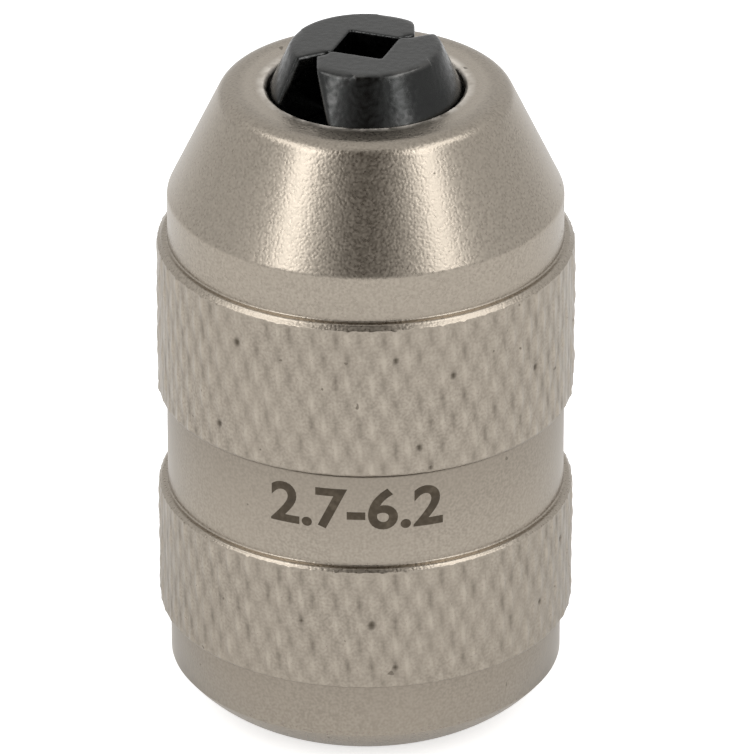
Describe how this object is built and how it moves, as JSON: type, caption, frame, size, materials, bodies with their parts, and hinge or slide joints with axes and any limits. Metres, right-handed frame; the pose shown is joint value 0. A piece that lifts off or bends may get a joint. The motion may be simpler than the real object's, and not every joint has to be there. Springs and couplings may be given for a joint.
{
  "type": "tapping chuck",
  "caption": "Tapping chuck with two knurled sleeves, a conical nose and two jaws that close on a tap's square; turning the front sleeve opens them.",
  "frame": {"origin": "centre of the rear face, on the chuck's axis", "axes": "+Z along the axis towards the nose, -Y towards the side with the size numbers"},
  "size_m": [0.022, 0.022, 0.0372],
  "materials": {
    "nickel": "satin nickel plate, finely grained",
    "steel": "turned steel, lightly oiled",
    "hard_steel": "ground and hardened",
    "spring_steel": "dark spring temper",
    "cage_brass": "turned brass",
    "black_steel": "black oxide, satin"
  },
  "bodies": {
    "core": {"core_body": "steel", "rear_sleeve": "nickel", "rear_snap_ring": "spring_steel", "sleeve_dowel": "hard_steel"},
    "nose": {"front_sleeve": "nickel", "bearing_ring": "hard_steel", "guide_snap_ring": "spring_steel", "jaw_guide": "steel", "guide_key_left": "hard_steel", "guide_key_right": "hard_steel"},
    "cage": {"ball_cage": "cage_brass", "bearing_ball_01": "hard_steel", "bearing_ball_02": "hard_steel", "bearing_ball_03": "hard_steel", "bearing_ball_04": "hard_steel", "bearing_ball_05": "hard_steel", "bearing_ball_06": "hard_steel", "bearing_ball_07": "hard_steel", "bearing_ball_08": "hard_steel", "bearing_ball_09": "hard_steel", "bearing_ball_10": "hard_steel", "bearing_ball_11": "hard_steel", "bearing_ball_12": "hard_steel"},
    "screw": {"drive_screw": "steel", "spring_left": "spring_steel", "spring_right": "spring_steel"},
    "jaw_front": {"jaw_front": "black_steel"},
    "jaw_back": {"jaw_back": "black_steel"}
  },
  "joints": [
    {"name": "sleeve_turn", "type": "hinge", "parent": "core", "child": "nose", "pos_m": [0, 0, 0.0212], "axis": [0, 0, 1], "range_deg": [0, 1000]},
    {"name": "cage_roll", "type": "hinge", "parent": "core", "child": "cage", "pos_m": [0, 0, 0.0198], "axis": [0, 0, 1], "range_deg": [0, 510]},
    {"name": "screw_feed", "type": "slide", "parent": "nose", "child": "screw", "axis": [0, 0, 1], "range_m": [-0.00557, 0]},
    {"name": "jaw_front_slide", "type": "slide", "parent": "screw", "child": "jaw_front", "axis": [0.4226, -0.9063, 0], "range_m": [0, 0.00248]},
    {"name": "jaw_back_slide", "type": "slide", "parent": "screw", "child": "jaw_back", "axis": [-0.4226, 0.9063, 0], "range_m": [0, 0.00248]}
  ],
  "couplings": [
    {"joint": "cage_roll", "follows": "sleeve_turn", "ratio": 0.5},
    {"joint": "screw_feed", "follows": "sleeve_turn", "m_per_rad": -0.00031831},
    {"joint": "jaw_front_slide", "follows": "sleeve_turn", "m_per_rad": 0.00014172},
    {"joint": "jaw_back_slide", "follows": "sleeve_turn", "m_per_rad": 0.00014172}
  ]
}
